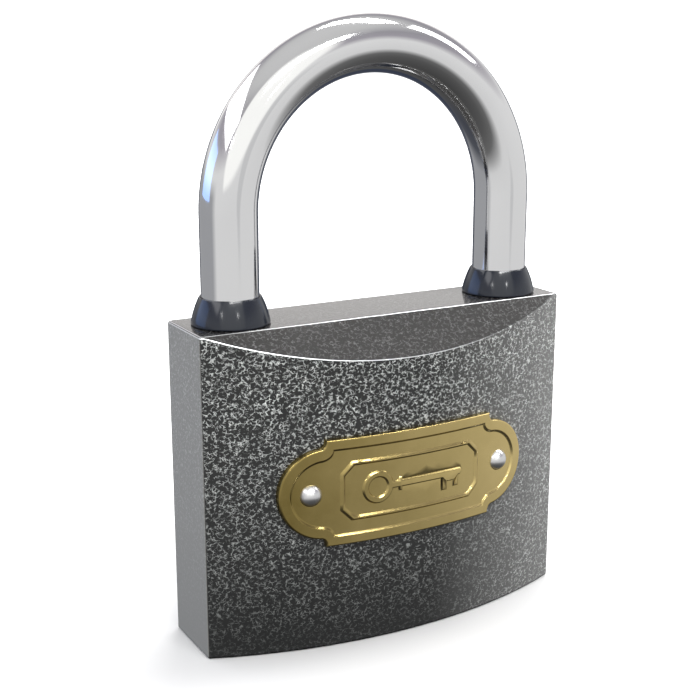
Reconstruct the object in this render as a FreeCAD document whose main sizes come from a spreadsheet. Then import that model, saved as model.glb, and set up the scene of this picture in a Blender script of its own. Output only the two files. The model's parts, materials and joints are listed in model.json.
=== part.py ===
import FreeCAD, Part

# Cast padlock with a round shackle, two locking bolts and a four-pin cylinder.
# Frame: millimetres, +Z up, +X to the right of the front face, +Y to the back.
# The origin is on the bottom face, on the axis of the turning plug.
# The lock is closed and unlocked: the plug is turned to open and both bolts are withdrawn.

import math
import os
import re

import Sketcher
from FreeCAD import Placement, Rotation, Vector

# Driving dimensions. Every name has an underscore, so a formula can be told from a function name.
SIZES = {
    # body
    "body_width": 63.0,
    "body_height": 49.6,
    "body_side_depth": 12.2,
    "body_bulge": 6.2,
    "bevel_drop": 5.38,
    "body_round": 0.5,
    # shackle
    "rod_radius": 4.3,
    "leg_offset": 23.92,
    "arch_level": 65.53,
    "leg_hole_radius": 4.45,
    "heel_foot_level": 14.25,
    "heel_neck_bottom": 17.75,
    "heel_neck_top": 37.5,
    "neck_radius": 2.7,
    "heel_hole_floor": 5.0,
    "toe_tip_level": 37.3,
    "toe_hole_floor": 36.0,
    "tip_chamfer": 0.8,
    "notch_half_height": 2.8,
    "toe_notch_reach": 22.3,
    "heel_notch_reach": 21.3,
    # collars
    "collar_base_radius": 5.87,
    "collar_top_radius": 4.62,
    "collar_bore_radius": 4.38,
    "collar_rise": 4.1,
    "collar_seat_radius": 5.2,
    "collar_sleeve_depth": 4.0,
    # plug and cam
    "plug_radius": 5.5,
    "plug_bore_radius": 5.56,
    "plug_face_level": 0.3,
    "plug_top_level": 38.0,
    "flange_radius": 6.6,
    "flange_seat_radius": 6.7,
    "flange_top_level": 1.5,
    "flange_seat_depth": 1.6,
    "cavity_roof": 45.6,
    "keyway_width": 2.2,
    "keyway_front": 2.6,
    "keyway_back": 4.7,
    "keyway_top": 33.6,
    "ward_shift": 0.8,
    "ward_slope": 0.5,
    "right_ward_end": 2.2,
    "left_ward_start": 0.5,
    "left_ward_end": 3.4,
    "tang_width": 6.0,
    "tang_depth": 1.2,
    "cam_bottom": 38.1,
    "cam_top": 40.0,
    "cam_radius": 5.3,
    "cam_pin_radius": 0.9,
    "cam_pin_place": 1.768,
    "cam_pin_top": 44.6,
    "cam_pin_root": 0.5,
    "slide_gap": 0.1,
    # plug retaining pin
    "retainer_level": 18.2,
    "retainer_radius": 0.9,
    "groove_radius": 4.6,
    "groove_half_width": 1.0,
    # pin stacks
    "pin_start_level": 21.6,
    "pin_pitch": 3.3,
    "pin_radius": 1.15,
    "pin_tip_radius": 0.35,
    "pin_tip_length": 0.8,
    "chamber_radius": 1.25,
    "key_pin_reach": 5.3,
    "driver_near": 5.6,
    "driver_far": 8.2,
    "cap_near": 10.6,
    "cap_far": 12.1,
    "pin_spring_radius": 0.8,
    "pin_spring_wire": 0.15,
    "stack_gap": 0.02,
    # bolts
    "bolt_radius": 2.4,
    "bolt_bore_radius": 2.5,
    "bolt_level": 42.5,
    "toe_nose": 18.46,
    "heel_nose": 17.4,
    "tongue_end": 4.1,
    "tongue_root": 4.6,
    "tongue_gap": 0.05,
    "slot_half_width": 1.05,
    "slot_inner": 0.75,
    "nose_chamfer": 0.5,
    "bore_plug_length": 2.6,
    # shackle spring and retaining pin
    "shackle_spring_radius": 3.2,
    "shackle_spring_wire": 0.35,
    "shackle_spring_turns": 7.0,
    "shackle_spring_gap": 0.1,
    "cross_pin_place": 19.8,
    "cross_pin_level": 36.1,
    "cross_pin_radius": 1.2,
    "cross_pin_length": 13.7,
    "cross_pin_back": 9.7,
    # name plate and rivets
    "plate_level": 25.0,
    "plate_thickness": 0.7,
    "plate_half_length": 14.4,
    "plate_half_height": 8.3,
    "plate_end_radius": 7.0,
    "plate_end_place": 14.6,
    "plate_cove_end": 15.3,
    "relief_height": 0.3,
    "rim_width": 1.9,
    "frame_half_length": 12.3,
    "frame_half_height": 4.7,
    "frame_corner": 1.8,
    "frame_width": 0.8,
    "rivet_place": 16.6,
    "rivet_head_radius": 1.7,
    "rivet_head_height": 1.1,
    "rivet_shank_radius": 0.9,
    "rivet_shank_length": 4.0,
    "rivet_rim_height": 0.1,
    # key emblem on the plate
    "emblem_place": 6.0,
    "emblem_ring_radius": 2.6,
    "emblem_eye_radius": 1.5,
    "emblem_shank_start": 3.8,
    "emblem_shank_length": 12.5,
    "emblem_shank_width": 1.2,
    "emblem_tooth_width": 1.2,
    "emblem_tooth_drop": 2.3,
    # how far a cutting solid runs past the surface that it opens
    "cut_overrun": 1.0,
}

PIN_COUNT = 4
KEY_PIN_LENGTHS = (4.2, 5.0, 3.8, 4.6)
PIN_SPRING_TURNS = 5
HOME_TO_OPEN_DEG = -90.0
EMBLEM_TOOTH_PLACES = (4.2, 6.6)
# how much each side of the plate's outline moves for each millimetre of inset
INSET_OF_LENGTH, INSET_OF_HEIGHT, INSET_OF_COVE = 0.6, 0.9, 0.1
CLIP_SHARE = 0.4
CLOSE = 0.01

ALONG_X = Rotation(Vector(0, 1, 0), 90)
TO_FRONT = Rotation(Vector(1, 0, 0), 90)
TO_BACK = Rotation(Vector(1, 0, 0), -90)
UPRIGHT = Rotation()

doc = FreeCAD.newDocument("Padlock")
nodes = []


# ---------------------------------------------------------------- sheet and formulas


def make_sheet():
    """Write each driving dimension and its name into the spreadsheet."""
    sheet = doc.addObject("Spreadsheet::Sheet", "Sizes")
    for row, (name, value) in enumerate(SIZES.items(), start=1):
        sheet.set(f"A{row}", name)
        sheet.set(f"B{row}", str(value))
        sheet.setAlias(f"B{row}", name)
    doc.recompute()


def formula(text):
    """Point every dimension named in a formula at its cell."""
    return re.sub(r"[a-z]+(_[a-z]+)+", r"Sizes.\g<0>", str(text))


def bind(item, **formulas):
    """Bind properties of a document object to formulas."""
    for name, text in formulas.items():
        item.setExpression(name, formula(text))


def place(item, base, rotation=UPRIGHT):
    """Turn an object, and bind the three coordinates of its place."""
    item.Placement = Placement(Vector(), rotation)
    for axis, text in zip("xyz", base):
        item.setExpression(f"Placement.Base.{axis}", formula(text))


def keep(item, label):
    """Label a finished sub-part and list it for export."""
    item.Label = label
    nodes.append(item)
    return item


# ---------------------------------------------------------------- primitives and booleans


def cylinder(name, radius, length, base, rotation=UPRIGHT):
    """Cylinder from the centre of its first end, along its turned Z axis."""
    item = doc.addObject("Part::Cylinder", name)
    bind(item, Radius=radius, Height=length)
    place(item, base, rotation)
    return item


def box(name, size, base):
    """Box from its lowest corner."""
    item = doc.addObject("Part::Box", name)
    bind(item, Length=size[0], Width=size[1], Height=size[2])
    place(item, base)
    return item


def fuse(name, pieces):
    """Union of several solids."""
    item = doc.addObject("Part::MultiFuse", name)
    item.Shapes = pieces
    item.Refine = True
    return item


def cut(name, base, tool):
    """One solid less another."""
    item = doc.addObject("Part::Cut", name)
    item.Base = base
    item.Tool = tool
    return item


def common(name, pieces):
    """Volume shared by several solids."""
    item = doc.addObject("Part::MultiCommon", name)
    item.Shapes = pieces
    return item


# ---------------------------------------------------------------- sketches and features


def new_body(name):
    """Empty PartDesign body."""
    return doc.addObject("PartDesign::Body", name)


def new_sketch(body, name, plane, offset=None):
    """Sketch on one of its body's origin planes, moved by an optional offset of three formulas."""
    sketch = body.newObject("Sketcher::SketchObject", name)
    origin_plane = next(f for f in body.Origin.OriginFeatures if f.Role == plane)
    sketch.AttachmentSupport = (origin_plane, [""])
    sketch.MapMode = "FlatFace"
    for axis, text in zip("xyz", offset or ()):
        sketch.setExpression(f"AttachmentOffset.Base.{axis}", formula(text))
    return sketch


def fix_point(sketch, geometry, vertex, across, up):
    """Hold one point at formulas measured from the sketch's origin."""
    for kind, text in (("DistanceX", across), ("DistanceY", up)):
        index = sketch.addConstraint(Sketcher.Constraint(kind, -1, 1, geometry, vertex, 1.0))
        sketch.setExpression(f"Constraints[{index}]", formula(text))


def polygon(sketch, corners):
    """Closed polygon with its corners held at pairs of formulas."""
    count = len(corners)
    turns = [2 * math.pi * (index + 0.3) / count for index in range(count)]
    start = [Vector(math.cos(turn), math.sin(turn), 0) for turn in turns]
    first = sketch.GeometryCount
    for index in range(count):
        sketch.addGeometry(Part.LineSegment(start[index], start[(index + 1) % count]))
    for index in range(count):
        following = first + (index + 1) % count
        sketch.addConstraint(Sketcher.Constraint("Coincident", first + index, 2, following, 1))
    for index, (across, up) in enumerate(corners):
        fix_point(sketch, first + index, 1, across, up)


def rectangle(sketch, left, right, low, high):
    """Upright rectangle between four formulas."""
    polygon(sketch, [(left, low), (right, low), (right, high), (left, high)])


def circle(sketch, radius, across="0", up="0"):
    """Circle with its radius and centre held."""
    index = sketch.addGeometry(Part.Circle(Vector(1, 1, 0), Vector(0, 0, 1), 1.0))
    size = sketch.addConstraint(Sketcher.Constraint("Radius", index, 1.0))
    sketch.setExpression(f"Constraints[{size}]", formula(radius))
    fix_point(sketch, index, 3, across, up)


def pad(body, sketch, length, reverse=False, middle=False):
    """Pad a sketch, to one side or to both."""
    feature = body.newObject("PartDesign::Pad", sketch.Name + "Pad")
    feature.Profile = sketch
    feature.SideType = "Symmetric" if middle else "One side"
    feature.Reversed = reverse
    bind(feature, Length=length)
    doc.recompute()
    return feature


def pocket(body, sketch, length, reverse=False, middle=False):
    """Pocket a sketch, and make sure that it removes material."""
    before = body.Shape.Volume
    feature = body.newObject("PartDesign::Pocket", sketch.Name + "Pocket")
    feature.Profile = sketch
    feature.SideType = "Symmetric" if middle else "One side"
    feature.Reversed = reverse
    bind(feature, Length=length)
    doc.recompute()
    if body.Shape.Volume >= before - 1e-6:
        raise RuntimeError(f"{sketch.Name} removes nothing from {body.Name}")
    return feature


def revolve(body, sketch, subtract=False):
    """Full turn about the sketch's vertical axis, added or cut away."""
    kind = "PartDesign::Groove" if subtract else "PartDesign::Revolution"
    before = body.Shape.Volume if subtract else 0.0
    feature = body.newObject(kind, sketch.Name + "Turn")
    feature.Profile = sketch
    feature.ReferenceAxis = (sketch, ["V_Axis"])
    feature.Angle = 360.0
    doc.recompute()
    if subtract and body.Shape.Volume >= before - 1e-6:
        raise RuntimeError(f"{sketch.Name} removes nothing from {body.Name}")
    return feature


def soften(body, kind, size, chosen):
    """Fillet or chamfer the edges of the body that a test picks out."""
    picked = [
        f"Edge{index}" for index, edge in enumerate(body.Shape.Edges, start=1) if chosen(edge)
    ]
    if not picked:
        raise RuntimeError(f"no edge of {body.Name} to soften")
    tip = body.Tip
    feature = body.newObject("PartDesign::" + kind, body.Name + kind)
    feature.Base = (tip, picked)
    if kind == "Fillet":
        bind(feature, Radius=size)
    else:
        bind(feature, Size=size)
    doc.recompute()
    return feature


def turned(name, outline):
    """Turned piece: a half section of radius and height, spun about the local Z axis."""
    body = new_body(name)
    sketch = new_sketch(body, name + "Section", "XZ_Plane")
    polygon(sketch, outline)
    revolve(body, sketch)
    return body


def rod(name, radius, length):
    """Plain turned pin standing on the local origin."""
    return turned(name, [("0", "0"), (radius, "0"), (radius, length), ("0", length)])


def spring(name, coil_radius, wire_radius, height, turns):
    """Open coil spring standing on the local origin, its wire's centre starting at one radius up."""
    body = new_body(name)
    sketch = new_sketch(body, name + "Wire", "XZ_Plane")
    circle(sketch, wire_radius, coil_radius, wire_radius)
    feature = body.newObject("PartDesign::AdditiveHelix", name + "Coil")
    feature.Profile = sketch
    feature.ReferenceAxis = (sketch, ["V_Axis"])
    feature.Mode = "height-turns-angle"
    bind(feature, Height=f"{height} - 2 * {wire_radius}", Turns=turns)
    doc.recompute()
    return body


# ---------------------------------------------------------------- levels of the pin stacks


def pin_level(index):
    """Height of one pin stack, as a formula."""
    return f"pin_start_level + {index} * pin_pitch"


def face_radius():
    """Radius of the bulged front and back faces, as a formula."""
    return "((body_width / 2)^2 + body_bulge^2) / (2 * body_bulge)"


def face_centre():
    """Distance from the body's middle plane to a bulged face's axis, as a formula."""
    return f"({face_radius()} - body_bulge - body_side_depth / 2)"


# ---------------------------------------------------------------- body casting


def bulged_block():
    """Upright block between two large cylinders, which give it bulged front and back faces."""
    reach = "(body_side_depth / 2 + body_bulge)"
    slab = box(
        "CastingSlab",
        ("body_width", f"2 * {reach}", "body_height"),
        ("-body_width / 2", f"-{reach}", "0"),
    )
    front = cylinder("FrontBulge", face_radius(), "body_height", ("0", face_centre(), "0"))
    back = cylinder("BackBulge", face_radius(), "body_height", ("0", f"-{face_centre()}", "0"))
    block = common("BulgedBlock", [slab, front, back])
    doc.recompute()
    return block


def rounded_block(block):
    """The block with every edge that reaches its bottom rounded: the outline and four corners."""
    radius = SIZES["body_round"]
    edges = []
    for index, edge in enumerate(block.Shape.Edges, start=1):
        if edge.BoundBox.ZMin < CLOSE:
            edges.append((index, radius, radius))
    fillet = doc.addObject("Part::Fillet", "RoundedBlock")
    fillet.Base = block
    fillet.Edges = edges
    doc.recompute()
    return fillet


def sloped_top():
    """Long prism that leaves a flat strip along the top, with a slope to the front and the back."""
    body = new_body("SlopedTop")
    sketch = new_sketch(body, "SlopeSection", "YZ_Plane")
    reach = "(body_side_depth / 2 + 2 * body_bulge)"
    shoulder = "body_height - 2 * bevel_drop"
    polygon(
        sketch,
        [
            (f"-{reach}", "-cut_overrun"),
            (reach, "-cut_overrun"),
            (reach, shoulder),
            ("body_side_depth / 2", "body_height"),
            ("-body_side_depth / 2", "body_height"),
            (f"-{reach}", shoulder),
        ],
    )
    pad(body, sketch, "body_width + 2 * cut_overrun", middle=True)
    return body


def leg_bores():
    """Bores for the two legs, and the seats of the collars."""
    tools = []
    for side, sign, floor in (("Toe", "", "toe_hole_floor"), ("Heel", "-", "heel_hole_floor")):
        across = sign + "leg_offset"
        depth = f"body_height - {floor} + cut_overrun"
        tools.append(cylinder(side + "Bore", "leg_hole_radius", depth, (across, "0", floor)))
        seat = "body_height - collar_sleeve_depth"
        depth = "collar_sleeve_depth + cut_overrun"
        tools.append(cylinder(side + "Seat", "collar_seat_radius", depth, (across, "0", seat)))
    return tools


def cylinder_bores():
    """Bore of the plug and cam, with the flange seat at its mouth."""
    start = ("0", "0", "-cut_overrun")
    return [
        cylinder("PlugBore", "plug_bore_radius", "cavity_roof + cut_overrun", start),
        cylinder("FlangeSeat", "flange_seat_radius", "flange_seat_depth + cut_overrun", start),
    ]


def bolt_bore():
    """Bore of the two bolts, drilled from the right side as far as the heel's bore."""
    length = "leg_offset + body_width / 2 + cut_overrun"
    start = ("-leg_offset", "0", "bolt_level")
    return cylinder("BoltBore", "bolt_bore_radius", length, start, ALONG_X)


def pin_bores():
    """Pin chambers and the hole of the plug's retaining pin, drilled from the front."""
    depth = "body_side_depth / 2 + body_bulge + cut_overrun"
    tools = [
        cylinder(f"Chamber{i}", "chamber_radius", depth, ("0", "0", pin_level(i)), TO_FRONT)
        for i in range(PIN_COUNT)
    ]
    start = ("0", "0", "retainer_level")
    tools.append(cylinder("RetainerHole", "retainer_radius", depth, start, TO_FRONT))
    return tools


def cross_pin_hole():
    """Blind hole of the shackle's retaining pin, drilled from the back."""
    start = ("-cross_pin_place", "cross_pin_back - cross_pin_length", "cross_pin_level")
    depth = "cross_pin_length + 3 * cut_overrun"
    return cylinder("CrossPinHole", "cross_pin_radius", depth, start, TO_BACK)


def rivet_angle():
    """Angle between the front face's normal at a rivet and the middle plane."""
    radius = (SIZES["body_width"] ** 2 / 4 + SIZES["body_bulge"] ** 2) / (2 * SIZES["body_bulge"])
    return math.degrees(math.asin(SIZES["rivet_place"] / radius))


def rivet_rotation(side):
    """Local +Z turned to the front face's outward normal at a rivet."""
    return Rotation(Vector(0, 0, 1), side * rivet_angle()).multiply(TO_FRONT)


def on_front_face(side, radius):
    """Point on a cylinder concentric with the front face, in line with a rivet."""
    angle = f"{side * rivet_angle():.6f}"
    return (
        f"({radius}) * sin({angle})",
        f"{face_centre()} - ({radius}) * cos({angle})",
        "plate_level",
    )


def rivet_holes():
    """Blind holes for the two rivets, square to the front face."""
    tools = []
    for side in (-1, 1):
        start = on_front_face(side, f"{face_radius()} - rivet_shank_length")
        name = "RivetHoleLeft" if side < 0 else "RivetHoleRight"
        depth = "rivet_shank_length + cut_overrun"
        tools.append(cylinder(name, "rivet_shank_radius", depth, start, rivet_rotation(side)))
    return tools


def make_casting():
    """Body casting with all its bores."""
    blank = common("CastingBlank", [rounded_block(bulged_block()), sloped_top()])
    bores = leg_bores() + cylinder_bores() + pin_bores() + rivet_holes()
    bores += [bolt_bore(), cross_pin_hole()]
    keep(cut("BodyCasting", blank, fuse("CastingBores", bores)), "body_casting")


# ---------------------------------------------------------------- collars and shackle


def make_collars():
    """Conical bushes around the legs, each with a sleeve let into the body."""
    for label, across in (("collar_left", "-leg_offset"), ("collar_right", "leg_offset")):
        body = turned(
            label.title().replace("_", ""),
            [
                ("collar_bore_radius", "0"),
                ("collar_seat_radius", "0"),
                ("collar_seat_radius", "collar_sleeve_depth"),
                ("collar_base_radius", "collar_sleeve_depth"),
                ("collar_top_radius", "collar_sleeve_depth + collar_rise"),
                ("collar_bore_radius", "collar_sleeve_depth + collar_rise"),
            ],
        )
        place(body, (across, "0", "body_height - collar_sleeve_depth"))
        keep(body, label)


def shackle_path(body):
    """Line, half circle, line: the centre of the rod, from the heel's foot to the toe's tip."""
    path = new_sketch(body, "ShackleLine", "XZ_Plane")
    reach = SIZES["leg_offset"]
    level = SIZES["arch_level"]
    foot = SIZES["heel_foot_level"]
    toe = SIZES["toe_tip_level"]
    heel_line = path.addGeometry(Part.LineSegment(Vector(-reach, foot, 0), Vector(-reach, level, 0)))
    turn = Part.Arc(Vector(-reach, level, 0), Vector(0, level + reach, 0), Vector(reach, level, 0))
    arch = path.addGeometry(turn)
    toe_line = path.addGeometry(Part.LineSegment(Vector(reach, level, 0), Vector(reach, toe, 0)))
    # the arc runs anticlockwise, so it starts on the toe's side and ends on the heel's
    path.addConstraint(Sketcher.Constraint("Tangent", heel_line, 2, arch, 2))
    path.addConstraint(Sketcher.Constraint("Coincident", arch, 1, toe_line, 1))
    fix_point(path, heel_line, 1, "-leg_offset", "heel_foot_level")
    fix_point(path, heel_line, 2, "-leg_offset", "arch_level")
    fix_point(path, toe_line, 1, "leg_offset", "arch_level")
    fix_point(path, toe_line, 2, "leg_offset", "toe_tip_level")
    return path


def make_shackle():
    """Round bow: swept rod, turned neck on the heel, a bolt notch in each leg."""
    body = new_body("Shackle")
    path = shackle_path(body)
    section = new_sketch(body, "RodSection", "XY_Plane", ("0", "0", "heel_foot_level"))
    circle(section, "rod_radius", "-leg_offset", "0")
    doc.recompute()
    sweep = body.newObject("PartDesign::AdditivePipe", "Rod")
    sweep.Profile = section
    sweep.Spine = (path, ["Edge1", "Edge2", "Edge3"])
    doc.recompute()
    neck = new_sketch(body, "HeelNeck", "XZ_Plane", ("-leg_offset", "0", "0"))
    rectangle(neck, "neck_radius", "rod_radius + cut_overrun", "heel_neck_bottom", "heel_neck_top")
    revolve(body, neck, subtract=True)
    notches = new_sketch(body, "BoltNotches", "XZ_Plane")
    low = "bolt_level - notch_half_height"
    high = "bolt_level + notch_half_height"
    inner = "(leg_offset - rod_radius - cut_overrun)"
    rectangle(notches, inner, "toe_notch_reach", low, high)
    rectangle(notches, "-heel_notch_reach", f"-{inner}", low, high)
    pocket(body, notches, "4 * rod_radius", middle=True)
    tips = (SIZES["heel_foot_level"], SIZES["toe_tip_level"])
    soften(
        body,
        "Chamfer",
        "tip_chamfer",
        lambda edge: edge.BoundBox.ZLength < CLOSE
        and min(abs(edge.BoundBox.ZMin - tip) for tip in tips) < CLOSE,
    )
    keep(body, "shackle")


def make_shackle_spring():
    """Compression spring under the heel's foot."""
    height = "(heel_foot_level - heel_hole_floor - shackle_spring_gap)"
    body = spring(
        "ShackleSpring", "shackle_spring_radius", "shackle_spring_wire", height, "shackle_spring_turns"
    )
    place(body, ("-leg_offset", "0", "heel_hole_floor"))
    keep(body, "shackle_spring")


def make_cross_pin():
    """Pin beside the heel's neck, which stops the foot when the shackle is lifted."""
    body = rod("ShackleRetainingPin", "cross_pin_radius", "cross_pin_length")
    start = ("-cross_pin_place", "cross_pin_back - cross_pin_length", "cross_pin_level")
    place(body, start, TO_BACK)
    keep(body, "shackle_retaining_pin")


# ---------------------------------------------------------------- plug, cam and pin stacks


def make_plug():
    """Turning plug, modelled with its pins facing the front, then turned to open."""
    body = turned(
        "CylinderPlug",
        [
            ("0", "plug_face_level"),
            ("flange_radius", "plug_face_level"),
            ("flange_radius", "flange_top_level"),
            ("plug_radius", "flange_top_level"),
            ("plug_radius", "retainer_level - groove_half_width"),
            ("groove_radius", "retainer_level - groove_half_width"),
            ("groove_radius", "retainer_level + groove_half_width"),
            ("plug_radius", "retainer_level + groove_half_width"),
            ("plug_radius", "plug_top_level"),
            ("0", "plug_top_level"),
        ],
    )
    keyway = new_sketch(body, "Keyway", "XY_Plane")
    half = "keyway_width / 2"
    polygon(
        keyway,
        [
            (f"-{half}", "-keyway_front"),
            (half, "-keyway_front"),
            (half, "0"),
            (f"{half} - ward_shift", "ward_slope"),
            (f"{half} - ward_shift", "right_ward_end - ward_slope"),
            (half, "right_ward_end"),
            (half, "keyway_back"),
            (f"-{half}", "keyway_back"),
            (f"-{half}", "left_ward_end"),
            (f"-{half} + ward_shift", "left_ward_end - ward_slope"),
            (f"-{half} + ward_shift", "left_ward_start + ward_slope"),
            (f"-{half}", "left_ward_start"),
        ],
    )
    pocket(body, keyway, "keyway_top", reverse=True)
    chambers = new_sketch(body, "KeyPinChambers", "XZ_Plane")
    for index in range(PIN_COUNT):
        circle(chambers, "chamber_radius", "0", pin_level(index))
    pocket(body, chambers, "plug_radius + cut_overrun", reverse=True)
    tang = new_sketch(body, "Tang", "XY_Plane", ("0", "0", "plug_top_level"))
    rectangle(tang, "-tang_width / 2", "tang_width / 2", "-tang_depth / 2", "tang_depth / 2")
    pad(body, tang, "cam_top - plug_top_level")
    place(body, ("0", "0", "0"), Rotation(Vector(0, 0, 1), HOME_TO_OPEN_DEG))
    keep(body, "cylinder_plug")


def make_cam():
    """Disc driven by the plug's tang, with two eccentric pins that move the bolts."""
    body = new_body("CamDisc")
    disc = new_sketch(body, "Disc", "XY_Plane", ("0", "0", "cam_bottom"))
    circle(disc, "cam_radius")
    slot_reach = "(tang_width / 2 + slide_gap)"
    slot_half = "(tang_depth / 2 + slide_gap)"
    rectangle(disc, f"-{slot_reach}", slot_reach, f"-{slot_half}", slot_half)
    pad(body, disc, "cam_top - cam_bottom")
    pins = new_sketch(body, "DrivePins", "XY_Plane", ("0", "0", "cam_top - cam_pin_root"))
    circle(pins, "cam_pin_radius", "-cam_pin_place", "cam_pin_place")
    circle(pins, "cam_pin_radius", "cam_pin_place", "-cam_pin_place")
    pad(body, pins, "cam_pin_top - cam_top + cam_pin_root")
    place(body, ("0", "0", "0"), Rotation(Vector(0, 0, 1), HOME_TO_OPEN_DEG))
    keep(body, "cam_disc")


def make_key_pins():
    """Pointed lower pins, each of its own length, turned with the plug."""
    for index, length in enumerate(KEY_PIN_LENGTHS):
        body = turned(
            f"KeyPin{index + 1}",
            [
                ("0", "0"),
                ("pin_tip_radius", "0"),
                ("pin_radius", "pin_tip_length"),
                ("pin_radius", str(length)),
                ("0", str(length)),
            ],
        )
        turn = Rotation(Vector(0, 0, 1), HOME_TO_OPEN_DEG).multiply(TO_FRONT)
        start = (f"-(key_pin_reach - {length})", "0", pin_level(index))
        place(body, start, turn)
        keep(body, f"key_pin_{index + 1}")


def make_driver_stacks():
    """Driver, spring and cap of each pin chamber, in line from the plug to the front face."""
    for index in range(PIN_COUNT):
        number = index + 1
        level = pin_level(index)
        driver = rod(f"DriverPin{number}", "pin_radius", "driver_far - driver_near")
        place(driver, ("0", "-driver_near", level), TO_FRONT)
        keep(driver, f"driver_pin_{number}")
        coil = spring(
            f"PinSpring{number}",
            "pin_spring_radius",
            "pin_spring_wire",
            "(cap_near - driver_far - 2 * stack_gap)",
            str(PIN_SPRING_TURNS),
        )
        place(coil, ("0", "-(driver_far + stack_gap)", level), TO_FRONT)
        keep(coil, f"pin_spring_{number}")
        cap = rod(f"ChamberCap{number}", "chamber_radius", "cap_far - cap_near")
        place(cap, ("0", "-cap_near", level), TO_FRONT)
        keep(cap, f"chamber_cap_{number}")


def make_plug_retainer():
    """Cross pin whose end runs in the plug's groove."""
    body = rod("PlugRetainingPin", "retainer_radius", "cap_far - groove_radius - slide_gap")
    place(body, ("0", "-(groove_radius + slide_gap)", "retainer_level"), TO_FRONT)
    keep(body, "plug_retaining_pin")


# ---------------------------------------------------------------- bolts


def make_bolt(label, nose):
    """Bolt along local +X, with a half-round tongue slotted for its drive pin."""
    name = label.title().replace("_", "")
    body = new_body(name)
    section = new_sketch(body, name + "Section", "YZ_Plane", ("0", "0", "-tongue_end"))
    circle(section, "bolt_radius")
    pad(body, section, f"tongue_end + {nose}")
    flat = new_sketch(body, name + "Flat", "XY_Plane")
    above = "bolt_radius + cut_overrun"
    rectangle(flat, "-tongue_end - cut_overrun", "tongue_root", "-tongue_gap", above)
    pocket(body, flat, "3 * bolt_radius", middle=True)
    slot = new_sketch(body, name + "Slot", "XY_Plane")
    near = "-(cam_pin_place + slot_half_width)"
    far = "-(cam_pin_place - slot_half_width)"
    rectangle(slot, near, far, f"-({above})", "-slot_inner")
    pocket(body, slot, "3 * bolt_radius", middle=True)
    tip = SIZES[nose]
    soften(body, "Chamfer", "nose_chamfer", lambda edge: edge.BoundBox.XMin > tip - CLOSE)
    return body


def make_bolts():
    """Right bolt for the toe, and the left bolt for the heel, turned half round."""
    right = make_bolt("bolt_right", "toe_nose")
    place(right, ("0", "0", "bolt_level"))
    keep(right, "bolt_right")
    left = make_bolt("bolt_left", "heel_nose")
    place(left, ("0", "0", "bolt_level"), Rotation(Vector(0, 0, 1), 180))
    keep(left, "bolt_left")
    plug = rod("BoltBorePlug", "bolt_bore_radius", "bore_plug_length")
    place(plug, ("body_width / 2 - bore_plug_length", "0", "bolt_level"), ALONG_X)
    keep(plug, "bolt_bore_plug")


# ---------------------------------------------------------------- name plate and rivets


def plate_outline(sketch, inset=0.0):
    """Rectangle with a small cove at each corner and round ends, moved in by an inset."""
    length = SIZES["plate_half_length"] - INSET_OF_LENGTH * inset
    height = SIZES["plate_half_height"] - INSET_OF_HEIGHT * inset
    radius = SIZES["plate_end_radius"] - inset
    centre = SIZES["plate_end_place"]
    cove_end = SIZES["plate_cove_end"] + INSET_OF_COVE * inset
    shoulder = math.sqrt(radius**2 - (cove_end - centre) ** 2)
    half = math.sqrt(0.5)
    corner = (length, height)
    bow = (cove_end - half * (cove_end - length), height - half * (height - shoulder))
    foot = (cove_end, shoulder)
    tip = (centre + radius, 0.0)

    def at(point, side, rise):
        return Vector(side * point[0], rise * point[1], 0)

    runs = [
        Part.LineSegment(at(corner, -1, 1), at(corner, 1, 1)),
        Part.LineSegment(at(corner, 1, -1), at(corner, -1, -1)),
    ]
    for side in (-1, 1):
        runs.append(Part.Arc(at(foot, side, 1), at(tip, side, 1), at(foot, side, -1)))
        for rise in (-1, 1):
            points = [at(point, side, rise) for point in (corner, bow, foot)]
            runs.append(Part.Arc(*points))
    for run in runs:
        index = sketch.addGeometry(run)
        sketch.addConstraint(Sketcher.Constraint("Block", index))


def clipped_rectangle(sketch, inset):
    """Rectangle with clipped corners, moved in by an inset that keeps the clips parallel."""
    long_side = f"(frame_half_length - {inset})"
    short_side = f"(frame_half_height - {inset})"
    clip = f"(frame_corner - {CLIP_SHARE} * {inset})"
    corners = [
        (long_side, f"-{short_side} + {clip}"),
        (long_side, f"{short_side} - {clip}"),
        (f"{long_side} - {clip}", short_side),
        (f"-{long_side} + {clip}", short_side),
        (f"-{long_side}", f"{short_side} - {clip}"),
        (f"-{long_side}", f"-{short_side} + {clip}"),
        (f"-{long_side} + {clip}", f"-{short_side}"),
        (f"{long_side} - {clip}", f"-{short_side}"),
    ]
    polygon(sketch, corners)


def front_shell(name, thickness):
    """Thin shell that lies on the bulged front face."""
    axis = ("0", face_centre(), "0")
    outer = cylinder(name + "Outer", f"{face_radius()} + {thickness}", "body_height", axis)
    inner = cylinder(name + "Inner", face_radius(), "body_height", axis)
    return cut(name, outer, inner)


def plate_reach():
    """Distance from the middle plane to well in front of the name plate, as a formula."""
    return "(body_side_depth / 2 + body_bulge + 3 * cut_overrun)"


def plate_prism(name, draw):
    """Prism through the front face, from a drawn outline centred on the plate."""
    body = new_body(name)
    sketch = new_sketch(body, name + "Outline", "XZ_Plane", ("0", "plate_level", "0"))
    draw(sketch)
    pad(body, sketch, plate_reach())
    return body


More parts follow.
